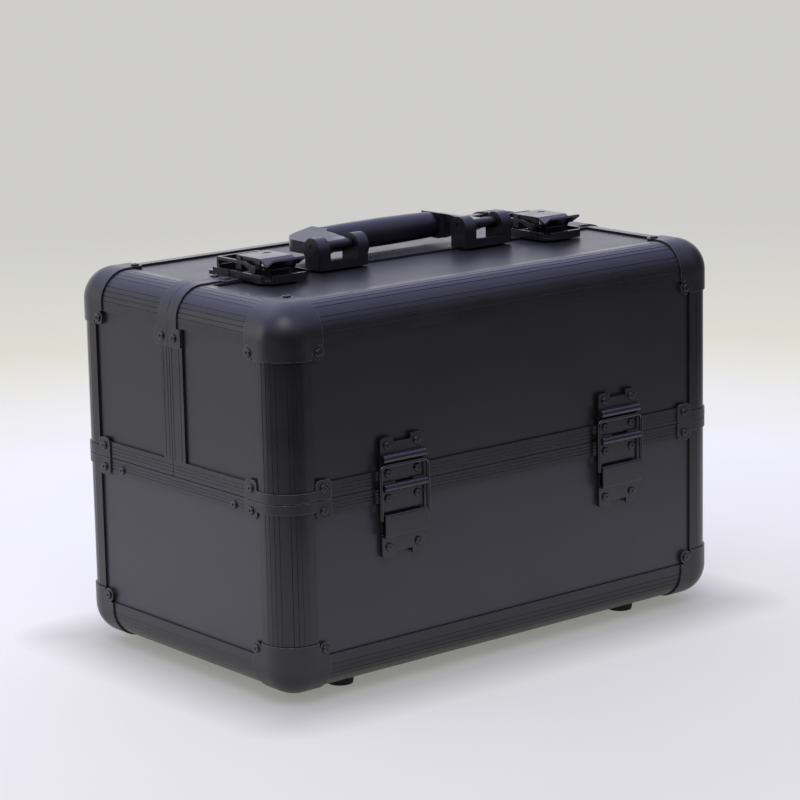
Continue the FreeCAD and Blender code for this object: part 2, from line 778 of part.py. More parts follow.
def handle_frame():
    """Moulded bow: thick at the grip, thinner at the elbows, with a hub on each tongue."""
    outer = mm("handle_place") + TONGUE_HALF
    inner = mm("handle_place") - TONGUE_HALF
    radius = mm("bar_radius")
    grip_half = mm("grip_length") / 2
    core_radius = 7.0
    hub_radius = 3.3
    elbow_half = 4.0
    low, high = BAR.z - radius, BAR.z + radius
    thin_low, thin_high = BAR.z - elbow_half, BAR.z + elbow_half
    taper = [(-outer, thin_low), (-grip_half, low), (grip_half, low), (outer, thin_low)]
    taper += [(outer, thin_high), (grip_half, high), (-grip_half, high), (-outer, thin_high)]
    front = HANDLE_PIVOT.y
    neck = front + 8
    shoulder = BAR.y - radius
    tongue_low, tongue_high = HANDLE_PIVOT.z - hub_radius, HANDLE_PIVOT.z + hub_radius
    swell = [(front, tongue_low), (neck, tongue_low - 1), (shoulder, low - 1), (60, low - 1)]
    swell += [(60, high + 1), (shoulder, high), (neck, tongue_high), (front, tongue_high)]
    bow = handle_plan(low - 1, high + 1)
    bow = bow.common(prism([V(x, -50, z) for x, z in taper], Y, 150))
    bow = bow.common(prism([V(-100, y, z) for y, z in swell], X, 200))
    grip_room = block((-grip_half, -50, -5), (grip_half, 60, 40))
    hubs = [crossing(hub_radius, inner, outer), crossing(hub_radius, -outer, -inner)]
    core = crossing(core_radius, -grip_half - 1, grip_half + 1, BAR)
    solid = bow.cut(grip_room).multiFuse(hubs + [core]).removeSplitter()
    return solid.cut(crossing(mm("pin_radius") + mm("running_fit"), -outer - 1, outer + 1))


def grip_sleeve():
    """Soft sleeve on the bar, slightly fuller in its middle."""
    half = mm("grip_length") / 2 - 0.2
    radius = mm("bar_radius")
    core_radius = 7.1
    fuller = 0.8
    edge = 1.0
    ends = [V(-half, radius - edge, 0), V(-half + edge, radius, 0), V(half - edge, radius, 0)]
    ends += [V(half, radius - edge, 0), V(half, core_radius, 0), V(-half, core_radius, 0)]
    outline = [Part.makeLine(ends[0], ends[1])]
    outline.append(Part.Arc(ends[1], V(0, radius + fuller, 0), ends[2]).toShape())
    outline += [Part.makeLine(a, b) for a, b in zip(ends[2:], ends[3:] + ends[:1])]
    sleeve = Part.Face(Part.Wire(outline)).revolve(V(0, 0, 0), X, 360)
    sleeve.translate(BAR)
    return sleeve


def handle():
    """Carrying handle of the front lid, lying folded over the rear lid."""
    lift = V(0, 0, TOP)

    def put(name, shape, shift=V(0, 0, 0)):
        shape.translate(lift + shift)
        return feature(name, shape)

    left = V(-mm("handle_place"), 0, 0)
    pin_half = 19.5
    pin = crossing(mm("pin_radius"), -pin_half, pin_half)
    node("handle_brackets", pair(put("handle_bracket", handle_bracket(), left)))
    node("handle_pins", pair(put("handle_pin", pin, left)))
    node("handle_frame", [put("handle_bow", handle_frame())])
    node("handle_grip", [put("grip_sleeve", grip_sleeve())])


# ---------------------------------------------------------------- latches

LEVER_PIVOT = V(0, 0, 10.5)
CLAW_PIVOT = V(0, -18, 7.5)
LEVER_HALF = 12.5
AXLE_RADIUS = 1.2


def both_sides(near, far):
    """Start and end along x of a piece between two distances from the middle, on each side."""
    return [(-far, -near), (near, far)]


def latch_base():
    """Tray-shaped base with side rails, ears for the lever and the lock's housing."""
    half = 18.5
    wall = 1.9
    floor = 1.5
    rim = 5.0
    corner = 7.0
    front = -36.4
    rear = mm("lid_split") - 0.6
    pan = block((-half, front, 0), (half, rear, rim))
    pan = pan.cut(block((-half + wall, front + wall, floor), (half - wall, rear + 1, rim + 1)))
    for side in (-half, half):
        inward = math.copysign(corner, -side)
        wedge = [V(side, front, -1), V(side + inward, front, -1), V(side, front + corner, -1)]
        pan = pan.cut(prism(wedge, Z, rim + 2))
    pieces = []
    for start, end in both_sides(12.9, 13.9):
        pieces.append(block((start, -3.0, floor / 2), (end, 2.6, LEVER_PIVOT.z)))
        pieces.append(crossing(2.6, start, end, LEVER_PIVOT))
    lock = block((-8, -25, floor / 2), (8, -6, 8.0))
    pieces.append(rounded(lock, 1.5, lambda e: e.CenterOfMass.z > 7))
    bore = crossing(AXLE_RADIUS + mm("running_fit"), -half, half, LEVER_PIVOT)
    return pan.multiFuse(pieces).cut(bore).removeSplitter()


def latch_lever():
    """Folded lever: flat cover with a key slot, a V fold and a raised finger tip."""
    cheek = 11.3
    top = [(4.0, 12.6), (4.0, 14.0), (-21.0, 14.0), (-28.0, 10.6), (-34.5, 14.8), (-35.3, 13.6)]
    top += [(-28.0, 9.0), (-21.4, 12.6)]
    cover = prism([V(-LEVER_HALF, y, z) for y, z in top], X, 2 * LEVER_HALF)
    pieces = []
    for start, end in both_sides(cheek, LEVER_HALF):
        pieces.append(block((start, -21.0, 8.8), (end, 3.0, 13.0)))
        pieces.append(crossing(2.4, start, end, LEVER_PIVOT))
        pieces.append(crossing(3.0, start, end, CLAW_PIVOT + Z))
    pieces += [crossing(AXLE_RADIUS, *ends, LEVER_PIVOT) for ends in both_sides(cheek, 13.9)]
    pieces += [crossing(AXLE_RADIUS, *ends, CLAW_PIVOT) for ends in both_sides(cheek, 16.2)]
    slot = block((2.0, -5.0, 12), (9.0, -3.0, 15))
    slot = slot.fuse(rod(1.8, (5.5, -4, 12), (5.5, -4, 15)))
    return cover.multiFuse(pieces).cut(slot).removeSplitter()


def latch_claw():
    """Claw: two side arms and the hooked bar that drops behind the keeper."""
    near, far = 14.2, 16.0
    arm = [(-20.4, 8.2), (-16.5, 5.6), (-8.0, 9.5), (18.3, 9.5), (18.3, 11.5), (-9.0, 11.5)]
    hook = block((-far, 18.2, 4.0), (far, 20.2, 11.5))
    pieces = []
    for start, end in both_sides(near, far):
        pieces.append(crossing(2.5, start, end, CLAW_PIVOT))
        pieces.append(prism([V(start, y, z) for y, z in arm], X, end - start))
    bore = crossing(AXLE_RADIUS + mm("running_fit"), -far - 1, far + 1, CLAW_PIVOT)
    return hook.multiFuse(pieces).cut(bore).removeSplitter()


def keeper():
    """Riveted frame on the rear lid with the raised bar that the claw drops behind."""
    half = 18.4
    rail = 16.4
    foot_height = 2.5
    front = mm("lid_split") + 0.9
    foot = 21.5
    rear = 27.0
    frame = block((-half, front, 0), (half, rear, foot_height))
    frame = rounded(frame, 2.0, lambda e: along(Z)(e) and e.CenterOfMass.y > foot)
    frame = frame.cut(block((-rail, front - 1, -1), (rail, foot, foot_height + 1)))
    bar = block((-half + 0.6, 15.0, 0), (half - 0.6, 17.0, 7.5))
    pieces = [rounded(bar, 0.8, lambda e: along(X)(e) and e.CenterOfMass.z > 7)]
    for start, end in both_sides(rail + 0.2, half):
        pieces.append(block((start, front, 0), (end, foot, 2 * foot_height)))
    for place in (-11, 11):
        pieces.append(rod(2.6, (place, 24.2, foot_height - 0.1), (place, 24.2, foot_height + 0.9)))
    return frame.multiFuse(pieces).removeSplitter()


def latches():
    """Two toggle latches across the split of the lids."""

    def put(name, shape, sign):
        shape.translate(V(sign * mm("latch_place"), 0, TOP))
        return feature(name, shape)

    node("latch_bases", [put("left_base", latch_base(), -1), put("right_base", latch_base(), 1)])
    node("latch_keepers", [put("left_keeper", keeper(), -1), put("right_keeper", keeper(), 1)])
    for side, sign in (("left", -1), ("right", 1)):
        node(side + "_latch_lever", [put(side + "_lever", latch_lever(), sign)])
        node(side + "_latch_claw", [put(side + "_claw", latch_claw(), sign)])


# ---------------------------------------------------------------- trays and their arms


def tray(level, pins):
    """Open moulded tray, bored through its ends at the pins' (y, z) places."""
    half = mm("tray_length") / 2
    wall = mm("tray_wall")
    height = mm("tray_height")
    far = -mm("tray_gap") - mm("tray_width")
    near = -mm("tray_gap")
    solid = block((-half, far, level), (half, near, level + height))
    solid = rounded(solid, 4.0, along(Z))
    hollow = block((-half + wall, far + wall, level + wall),
                   (half - wall, near - wall, level + height + 1))
    solid = solid.cut(rounded(hollow, 2.5, along(Z)))
    fit = mm("pin_radius") + mm("running_fit")
    for y, z in pins:
        for end in (-half, half):
            solid = solid.cut(rod(fit, (end - wall - 1, y, z), (end + wall + 1, y, z)))
    return solid.removeSplitter()


def dividers(level):
    """Three cross dividers that part a tray into four compartments."""
    wall = mm("tray_wall")
    half = mm("divider") / 2
    near = -mm("tray_gap") - wall
    far = near - mm("tray_width") + 2 * wall
    below_rim = 6.0
    top = level + mm("tray_height") - below_rim
    places = [share * mm("tray_length") / 4 for share in (-1, 0, 1)]
    return [block((place - half, far, level + wall), (place + half, near, top)) for place in places]


def lid_pin_place():
    """Where the lid's pin enters the upper tray, as far from the hinge as the arms' pins
    are from their pivots."""
    return -HINGE_Y + mm("arm_upper"), SPLIT + mm("arm_upper")


def arm_pins(reach):
    """Places of the pins that a pair of arms puts into one tray."""
    level = mm("pivot_level") + reach
    return [(-mm("inner_pivot") + reach, level), (-mm("outer_pivot") + reach, level)]


def tray_pin(y, z):
    """Shouldered pin riveted into an arm, running in a tray's left end."""
    face = -mm("tray_length") / 2
    near = -mm("arm_inner_face")
    far = near - mm("arm_thickness")
    shank = rod(mm("pin_radius"), (face + mm("tray_wall"), y, z), (far, y, z))
    shoulder = rod(3.5, (face - 0.3, y, z), (near, y, z))
    head = rod(3.2, (far, y, z), (far - 0.7, y, z))
    return shank.multiFuse([shoulder, head]).removeSplitter()


def arm(pivot):
    """Flat steel arm of the left end, with a running bore at its pivot and two riveted tray pins."""
    half = mm("arm_width") / 2
    start = -mm("arm_inner_face") - mm("arm_thickness")
    end = -mm("arm_inner_face")
    level = mm("pivot_level")
    places = [(pivot + reach, level + reach) for reach in (0, mm("arm_lower"), mm("arm_upper"))]
    across = V(0, -1, 1).normalize() * half
    first, last = V(start, *places[0]), V(start, *places[2])
    outline = [first + across, last + across, last - across, first - across]
    shape = prism(outline, X, end - start)
    shape = shape.multiFuse([rod(half, (start, y, z), (end, y, z)) for y, z in (places[0], places[2])])
    radii = (mm("pin_radius") + mm("running_fit"), mm("pin_radius"), mm("pin_radius"))
    for (y, z), radius in zip(places, radii):
        shape = shape.cut(rod(radius, (start - 1, y, z), (end + 1, y, z)))
    return [shape.removeSplitter()] + [tray_pin(y, z) for y, z in places[1:]]


def pivot_bracket():
    """Steel plate riveted inside the base's rim, with the arms' two pivot pins pressed in."""
    outer = -HALF_LENGTH + LIP
    near = -mm("arm_inner_face")
    face = near - mm("arm_thickness") - 1.2
    back = face - 2.0
    level = mm("pivot_level")
    radius = mm("pin_radius")
    plate = block((back, -mm("outer_pivot") - 8, SPLIT - 14), (face, -mm("inner_pivot") + 8, level + 6))
    plate = rounded(plate, 5.0, along(X))
    pad = block((outer, -mm("outer_pivot") - 5, SPLIT - 13), (back, -mm("inner_pivot") + 5, SPLIT - 2))
    plate = plate.fuse(pad)
    pins = []
    for pivot in (mm("inner_pivot"), mm("outer_pivot")):
        plate = plate.cut(rod(radius, (back - 1, -pivot, level), (face + 1, -pivot, level)))
        shank = rod(radius, (back, -pivot, level), (near + 0.3, -pivot, level))
        washer = rod(3.5, (face, -pivot, level), (face + 0.9, -pivot, level))
        head = rod(3.4, (near + 0.3, -pivot, level), (near + 1.4, -pivot, level))
        pins.append(shank.multiFuse([washer, head]).removeSplitter())
    return [plate.removeSplitter()] + pins


def lid_pin():
    """Pin from a lid's end board into the upper tray, with its flange on the board."""
    y, z = lid_pin_place()
    board = -HALF_LENGTH + SLOT - 0.05
    shank = rod(mm("pin_radius"), (board, y, z), (-mm("tray_length") / 2 + mm("tray_wall"), y, z))
    flange = rod(7.0, (board, y, z), (board + 1.5, y, z))
    return shank.fuse(flange).removeSplitter()


def tray_set():
    """Two trays a side, hung on parallel arms so that they stay level as the lid folds."""
    lower_pins = arm_pins(mm("arm_lower"))
    upper_pins = arm_pins(mm("arm_upper")) + [lid_pin_place()]
    lower_level = mm("tray_level")
    upper_level = lower_level + mm("tray_pitch")
    lower = [tray(lower_level, lower_pins)] + dividers(lower_level)
    upper = [tray(upper_level, upper_pins)] + dividers(upper_level)
    brackets = [feature("pivot_bracket", shape) for shape in pivot_bracket()]
    node("tray_pivot_brackets", [image for piece in brackets for image in four(piece)])
    inner = [feature("inner_arm", shape) for shape in arm(-mm("inner_pivot"))]
    outer = [feature("outer_arm", shape) for shape in arm(-mm("outer_pivot"))]
    pieces = {
        "upper_tray": [feature("upper_tray_piece", shape) for shape in upper],
        "lower_tray": [feature("lower_tray_piece", shape) for shape in lower],
        "inner_arms": [image for piece in inner for image in pair(piece)],
        "outer_arms": [image for piece in outer for image in pair(piece)],
        "lid_link_pins": pair(feature("link_pin", lid_pin())),
    }
    for name, group in pieces.items():
        node("front_" + name, group)
        node("rear_" + name, [mirrored(piece, Y) for piece in group])


# ---------------------------------------------------------------- assembly and files

base_frame()
base_panels()
caps()
rim_plates()
feet()
lid("front", 1, "stile_width", flip=False)
lid("rear", -1, "rear_stile_width", flip=True)
rivets()
hinges()
handle()
latches()
tray_set()
doc.recompute()

faults = [item.Name for item in doc.Objects if "Invalid" in item.State or "Error" in item.State]
faults += [name for name, piece in nodes.items() if piece.Shape.isNull() or not piece.Shape.isValid()]
if faults:
    raise RuntimeError("failed: " + ", ".join(faults))
os.makedirs("parts", exist_ok=True)
for name, piece in nodes.items():
    piece.Shape.exportStep(f"parts/{name}.step")
    print(name, len(piece.Shape.Solids), round(piece.Shape.Volume))
print(len(nodes), "nodes")
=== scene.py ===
"""The looks of a black aluminium-framed sewing case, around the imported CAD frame."""

import math

import bmesh
import bpy
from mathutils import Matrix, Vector


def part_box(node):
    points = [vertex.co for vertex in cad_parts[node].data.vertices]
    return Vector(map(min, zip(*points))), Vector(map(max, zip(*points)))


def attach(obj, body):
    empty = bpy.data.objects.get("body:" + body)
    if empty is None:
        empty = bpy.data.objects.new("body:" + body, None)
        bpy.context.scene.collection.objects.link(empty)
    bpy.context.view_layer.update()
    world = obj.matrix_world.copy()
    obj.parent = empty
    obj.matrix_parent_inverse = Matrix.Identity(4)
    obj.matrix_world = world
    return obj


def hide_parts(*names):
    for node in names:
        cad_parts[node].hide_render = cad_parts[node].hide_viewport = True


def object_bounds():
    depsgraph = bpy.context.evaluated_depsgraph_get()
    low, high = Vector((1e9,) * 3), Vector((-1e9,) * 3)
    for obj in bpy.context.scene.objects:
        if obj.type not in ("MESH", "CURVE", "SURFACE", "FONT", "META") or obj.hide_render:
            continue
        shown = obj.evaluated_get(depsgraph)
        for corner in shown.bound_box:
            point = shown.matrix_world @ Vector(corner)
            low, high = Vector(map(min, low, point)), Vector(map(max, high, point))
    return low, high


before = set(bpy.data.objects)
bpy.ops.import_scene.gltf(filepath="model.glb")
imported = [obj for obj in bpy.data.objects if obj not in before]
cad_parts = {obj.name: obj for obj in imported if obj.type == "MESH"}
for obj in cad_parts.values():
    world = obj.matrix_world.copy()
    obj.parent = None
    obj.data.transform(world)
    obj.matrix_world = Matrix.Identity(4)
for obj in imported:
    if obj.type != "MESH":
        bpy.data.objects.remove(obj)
CAD_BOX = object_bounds()

MILLIMETRE = 0.001
CENTRE = (CAD_BOX[0] + CAD_BOX[1]) / 2

# The camera stands in front of the case, to its left, and looks slightly down. Its place
# is in metres, its angles in degrees, and its lens and sensor in millimetres.
CAMERA_PLACE = (-1.2063, -1.4809, 0.5656)
CAMERA_TILT = 78.373
CAMERA_ROLL = 1.188
CAMERA_TURN = -39.032
CAMERA_LENS = 133.0
CAMERA_SENSOR = 36.0
CAMERA_SHIFT = (0.0226, -0.0426)

# The floor, in metres: its radius, how far it lies below the feet, how far around the case its
# glow (painted light) is weaker, as a painted shadow, between which places the glow of its front
# turns into that of its back, and where it fades out, measured from its middle and towards the
# front.
FLOOR_RADIUS = 1.05
FLOOR_DROP = 0.2 * MILLIMETRE
PAINTED_SHADOW_REACH = 0.045
GLOW_TURN = (-0.35, 0.2)
FADE_OUTWARD = (0.55, 1.0)
FADE_FORWARD = (-0.43, -0.60)

# The floor's colours. Its glow is painted light: darker and warmer in front, paler and bluer
# behind, and dimmer beneath and around the case as a painted shadow.
PAPER_DARK = (0.34, 0.335, 0.285)
PAPER_PALE = (0.36, 0.355, 0.30)
GLOW_IN_FRONT = (0.41, 0.41, 0.385)
GLOW_BEHIND = (0.54, 0.54, 0.555)
PAINTED_SHADOW_BENEATH = (0.24, 0.24, 0.22)

# The room that the camera sees: grey high up, and cream below, from the first of these
# heights of a unit direction to the second.
WALL_TURN = (-0.155, -0.215)
WALL_GREY = (0.62, 0.615, 0.60)
WALL_CREAM = (0.80, 0.795, 0.70)

# The room that lights the case, by direction.
BRIGHT_WAY = (0.62, 0.76, 0.15)
BRIGHT_WALL = (1.20, 1.19, 1.22)
DIM_WALL = (0.02, 0.02, 0.02)
VIOLET_CEILING = (0.84, 0.82, 1.45)
RIGHT_WAY = (0.97, -0.24, 0.0)
BROWN_WALL = (0.05, 0.04, 0.035)

# The foam pad: its faces along and across, its shape in multiples of its thickness, and
# its ripple's waves along and across, in radians a metre.
PAD_FACES = (64, 40)
PAD_ROUNDING = 2.0
PAD_FULL = 0.93
PAD_RIPPLE = 0.06
PAD_WAVES = (31, 27)
PAD_PHASE = 1.3


# ---------------------------------------------------------------- node helpers

def new_material(name):
    """An empty material with a Principled shader. Returns its tree and the shader."""
    material = bpy.data.materials.new(name)
    material.use_nodes = True
    tree = material.node_tree
    return material, tree, tree.nodes["Principled BSDF"]


def node(tree, kind, inputs=None, **settings):
    """Adds a node. Each input, by name or number, is a value or another node's output."""
    made = tree.nodes.new("ShaderNode" + kind)
    for name, value in settings.items():
        setattr(made, name, value)
    for name, value in (inputs or {}).items():
        if isinstance(value, bpy.types.NodeSocket):
            tree.links.new(value, made.inputs[name])
        else:
            made.inputs[name].default_value = value
    return made


def place_in_metres(tree):
    """The place on the piece itself, in metres, so that a pattern moves with the piece."""
    return node(tree, "TexCoord").outputs["Object"]


def stretched(tree, vector, scale):
    """The place, scaled differently along each axis."""
    return node(tree, "Mapping", {"Vector": vector, "Scale": scale}).outputs["Vector"]


def noise(tree, vector, size, detail=3.0, roughness=0.55):
    """Noise whose lumps are about size metres across, from 0 to 1."""
    inputs = {"Vector": vector, "Scale": 1.0 / size, "Detail": detail, "Roughness": roughness}
    return node(tree, "TexNoise", inputs).outputs["Fac"]


def ranged(tree, value, low, high, out_low=0.0, out_high=1.0):
    """Takes value from the range low..high to out_low..out_high, and holds it there."""
    inputs = {
        "Value": value,
        "From Min": low,
        "From Max": high,
        "To Min": out_low,
        "To Max": out_high,
    }
    return node(tree, "MapRange", inputs, clamp=True).outputs["Result"]


def clouded(tree, cloud, out_low=0.0, out_high=1.0):
    """The noise cloud with its contrast raised, from out_low to out_high."""
    return ranged(tree, cloud, 0.3, 0.7, out_low, out_high)


def math_node(tree, operation, first, second):
    """The result of an operation on two numbers."""
    return node(tree, "Math", {0: first, 1: second}, operation=operation).outputs[0]


def vector_node(tree, operation, first, second=(0.0, 0.0, 0.0)):
    """An operation on one or two vectors. The node's outputs are Vector and Value."""
    return node(tree, "VectorMath", {0: first, 1: second}, operation=operation)


def mixed(tree, factor, first, second):
    """A mix of two colours: the first where factor is 0, the second where it is 1."""
    made = node(tree, "Mix", data_type="RGBA")
    tree.links.new(factor, made.inputs["Factor"])
    colours = [s for s in made.inputs if s.type == "RGBA"]
    for socket, value in zip(colours, (first, second)):
        if isinstance(value, bpy.types.NodeSocket):
            tree.links.new(value, socket)
        else:
            socket.default_value = (*value, 1.0)
    return [s for s in made.outputs if s.type == "RGBA"][0]


def shaded(tree, factor, colour, darkest, lightest):
    """The colour, times darkest where factor is 0 and times lightest where it is 1."""
    dark = tuple(darkest * c for c in colour)
    light = tuple(lightest * c for c in colour)
    return mixed(tree, factor, dark, light)


def softened_edges(tree, radius):
    """The normal that the surface would have if its edges were rounded by radius."""
    return node(tree, "Bevel", {"Radius": radius}, samples=4).outputs["Normal"]


def rubbed_and_highlit_edges(tree, radius, breaks):
    """The mask of the rubbed edges and their painted highlight: near 1 along sharp edges within
    radius, broken up by the noise breaks, and 0 elsewhere.
    """
    flat = 0.985
    sharp = 0.86
    straight = node(tree, "NewGeometry").outputs["Normal"]
    agreement = vector_node(tree, "DOT_PRODUCT", softened_edges(tree, radius), straight)
    near = ranged(tree, agreement.outputs["Value"], flat, sharp)
    return math_node(tree, "MULTIPLY", near, ranged(tree, breaks, 0.35, 0.7, 0.25, 1.0))


def bumped(tree, shader, height, distance, strength, edge_radius=0.0):
    """Puts the height into the shader's normal, over edges rounded by edge_radius."""
    inputs = {"Height": height, "Distance": distance, "Strength": strength}
    if edge_radius:
        inputs["Normal"] = softened_edges(tree, edge_radius)
    tree.links.new(node(tree, "Bump", inputs).outputs["Normal"], shader.inputs["Normal"])


# ------------------------------------------------------------------- materials

def anodised(name, colour, rubbed_and_highlit_colour):
    """Black anodised aluminium: satin, clouded, and lighter along its sharpest edges, where the
    black has rubbed off and a highlight is painted.
    """
    material, tree, shader = new_material(name)
    place = place_in_metres(tree)
    fine = noise(tree, place, 0.5 * MILLIMETRE, 4.0)
    cloud = noise(tree, place, 30 * MILLIMETRE, 4.0)
    rubbed_and_highlit = rubbed_and_highlit_edges(tree, 0.15 * MILLIMETRE, noise(tree, place, 5 * MILLIMETRE))
    cloudy = shaded(tree, clouded(tree, cloud), colour, 0.8, 1.3)
    # Lighter along the sharpest edges: rubbed-off black, and a painted highlight.
    tree.links.new(mixed(tree, rubbed_and_highlit, cloudy, rubbed_and_highlit_colour), shader.inputs["Base Color"])
    tree.links.new(clouded(tree, cloud, 0.25, 0.33), shader.inputs["Roughness"])
    shader.inputs["Specular IOR Level"].default_value = 0.55
    bumped(tree, shader, fine, 0.01 * MILLIMETRE, 0.25, 0.15 * MILLIMETRE)
    return material


def board(name, colour, gloss):
    """Faced fibreboard with a fine pebbled grain, and a satin gloss."""
    material, tree, shader = new_material(name)
    place = place_in_metres(tree)
    pebbles = {"Vector": place, "Scale": 1.0 / (0.7 * MILLIMETRE)}
    pebble = node(tree, "TexVoronoi", pebbles, feature="SMOOTH_F1").outputs["Distance"]
    fine = noise(tree, place, 0.35 * MILLIMETRE, 4.0)
    cloud = noise(tree, place, 40 * MILLIMETRE, 4.0)
    grain = math_node(tree, "ADD", pebble, math_node(tree, "MULTIPLY", fine, 0.6))
    tone = shaded(tree, ranged(tree, grain, 0.3, 1.0), colour, 0.7, 1.35)
    patch = tuple(1.15 * c for c in colour)
    tone = mixed(tree, clouded(tree, cloud, 0.0, 0.35), tone, patch)
    tree.links.new(tone, shader.inputs["Base Color"])
    tree.links.new(clouded(tree, cloud, 0.33, 0.40), shader.inputs["Roughness"])
    shader.inputs["Specular IOR Level"].default_value = gloss
    bumped(tree, shader, grain, 0.04 * MILLIMETRE, 0.35)
    return material


def lacquered(name, colour, rubbed_and_highlit_colour, rough, gloss, peel_size, rubbed_and_highlit_width):
    """Lacquered pressed steel, lighter along its edges, where the lacquer has rubbed off and a
    highlight is painted. peel_size and the edges' width are in mm.
    """
    material, tree, shader = new_material(name)
    place = place_in_metres(tree)
    peel = noise(tree, place, peel_size * MILLIMETRE, 2.0)
    cloud = noise(tree, place, 14 * MILLIMETRE, 4.0)
    rubbed_and_highlit = rubbed_and_highlit_edges(tree, rubbed_and_highlit_width * MILLIMETRE, noise(tree, place, 4 * MILLIMETRE))
    cloudy = shaded(tree, clouded(tree, cloud), colour, 0.8, 1.25)
    # Lighter along the edges: rubbed-off lacquer, and a painted highlight.
    tree.links.new(mixed(tree, rubbed_and_highlit, cloudy, rubbed_and_highlit_colour), shader.inputs["Base Color"])
    tree.links.new(ranged(tree, cloud, 0.35, 0.7, rough, rough + 0.08), shader.inputs["Roughness"])
    shader.inputs["Specular IOR Level"].default_value = gloss
    bumped(tree, shader, peel, 0.05 * MILLIMETRE, 0.3, 0.25 * MILLIMETRE)
    return material


def moulded(name, colour, rough, grain_size=0.5, grain=0.25):
    """Moulded plastic with an eroded grain, grain_size mm across and as strong as grain."""
    material, tree, shader = new_material(name)
    place = place_in_metres(tree)
    fine = noise(tree, place, grain_size * MILLIMETRE, 3.0)
    cloud = noise(tree, place, 18 * MILLIMETRE, 4.0)
    tone = shaded(tree, clouded(tree, cloud), colour, 0.85, 1.2)
    tree.links.new(tone, shader.inputs["Base Color"])
    tree.links.new(clouded(tree, cloud, rough, rough + 0.1), shader.inputs["Roughness"])
    bumped(tree, shader, fine, 0.04 * MILLIMETRE, grain, 0.3 * MILLIMETRE)
    return material


def plated_steel():
    """Zinc-plated strip: pale, cloudy, with a fine drawn grain."""
    dull = (0.42, 0.43, 0.44)
    bright = (0.60, 0.60, 0.58)
    material, tree, shader = new_material("plated_steel")
    place = place_in_metres(tree)
    drawn = noise(tree, stretched(tree, place, (1.0, 0.15, 1.0)), 0.5 * MILLIMETRE, 4.0)
    cloud = noise(tree, place, 5 * MILLIMETRE, 5.0)
    tree.links.new(mixed(tree, clouded(tree, cloud), dull, bright), shader.inputs["Base Color"])
    shader.inputs["Metallic"].default_value = 1.0
    tree.links.new(clouded(tree, cloud, 0.28, 0.42), shader.inputs["Roughness"])
    bumped(tree, shader, drawn, 0.02 * MILLIMETRE, 0.3, 0.25 * MILLIMETRE)
    return material


def napped_foam():
    """Soft closed-cell foam with a short nap, with painted shade in its hollows."""
    nap_painted_shade = (0.012, 0.012, 0.014)
    tip = (0.055, 0.054, 0.058)
    patch = (0.04, 0.04, 0.043)
    material, tree, shader = new_material("napped_foam")
    place = place_in_metres(tree)
    nap = noise(tree, place, 0.9 * MILLIMETRE, 6.0, 0.7)
    cloud = noise(tree, place, 25 * MILLIMETRE, 3.0)
    # Painted shade: darker in the nap's hollows than on its tips.
    tone = mixed(tree, nap, nap_painted_shade, tip)
    tone = mixed(tree, clouded(tree, cloud, 0.0, 0.4), tone, patch)
    tree.links.new(tone, shader.inputs["Base Color"])
    shader.inputs["Roughness"].default_value = 0.95
    shader.inputs["Sheen Weight"].default_value = 0.35
    shader.inputs["Sheen Roughness"].default_value = 0.5
    bumped(tree, shader, nap, 0.3 * MILLIMETRE, 0.7)
    return material


def painted_shadow_fade(tree, place, reach):
    """The painted shadow's mask: 0 beneath the case, rising to 1 at a distance of reach from its
    footprint.
    """
    middle = CENTRE.to_2d().to_3d()
    half = ((CAD_BOX[1] - CAD_BOX[0]) / 2).to_2d().to_3d()
    offset = vector_node(tree, "SUBTRACT", place, middle).outputs["Vector"]
    offset = vector_node(tree, "ABSOLUTE", offset).outputs["Vector"]
    outside = vector_node(tree, "SUBTRACT", offset, half).outputs["Vector"]
    outside = vector_node(tree, "MAXIMUM", outside).outputs["Vector"]
    distance = vector_node(tree, "LENGTH", outside).outputs["Value"]
    return ranged(tree, distance, 0.0, reach)


def floor_material():
    """Pale matt paper that glows a little, as painted light, so shadows stay soft, with a painted
    shadow beneath and around the case, and fades out at its rim.
    """
    material, tree, shader = new_material("pale_floor")
    place = place_in_metres(tree)
    mottle = clouded(tree, noise(tree, place, 0.2))
    tree.links.new(mixed(tree, mottle, PAPER_DARK, PAPER_PALE), shader.inputs["Base Color"])
    shader.inputs["Roughness"].default_value = 0.8
    along = node(tree, "SeparateXYZ", {"Vector": place}).outputs["Y"]
    # Painted light: the glow is darker and warmer in front, paler and bluer behind.
    glow = mixed(tree, ranged(tree, along, *GLOW_TURN), GLOW_IN_FRONT, GLOW_BEHIND)
    # Painted shadow: the glow is dimmer beneath and just around the case.
    glow = mixed(tree, painted_shadow_fade(tree, place, PAINTED_SHADOW_REACH), PAINTED_SHADOW_BENEATH, glow)
    tree.links.new(glow, shader.inputs["Emission Color"])
    shader.inputs["Emission Strength"].default_value = 1.0
    away = vector_node(tree, "LENGTH", place).outputs["Value"]
    outward = ranged(tree, away, *FADE_OUTWARD, 1.0, 0.0)
    forward = ranged(tree, along, *FADE_FORWARD, 1.0, 0.0)
    tree.links.new(math_node(tree, "MULTIPLY", outward, forward), shader.inputs["Alpha"])
    return material


# What shows along sharp edges: where the black has rubbed off, and a painted highlight.
CAP_EDGE = (0.40, 0.39, 0.38)
LATCH_EDGE = (0.10, 0.10, 0.11)
RAIL_EDGE = (0.07, 0.07, 0.08)

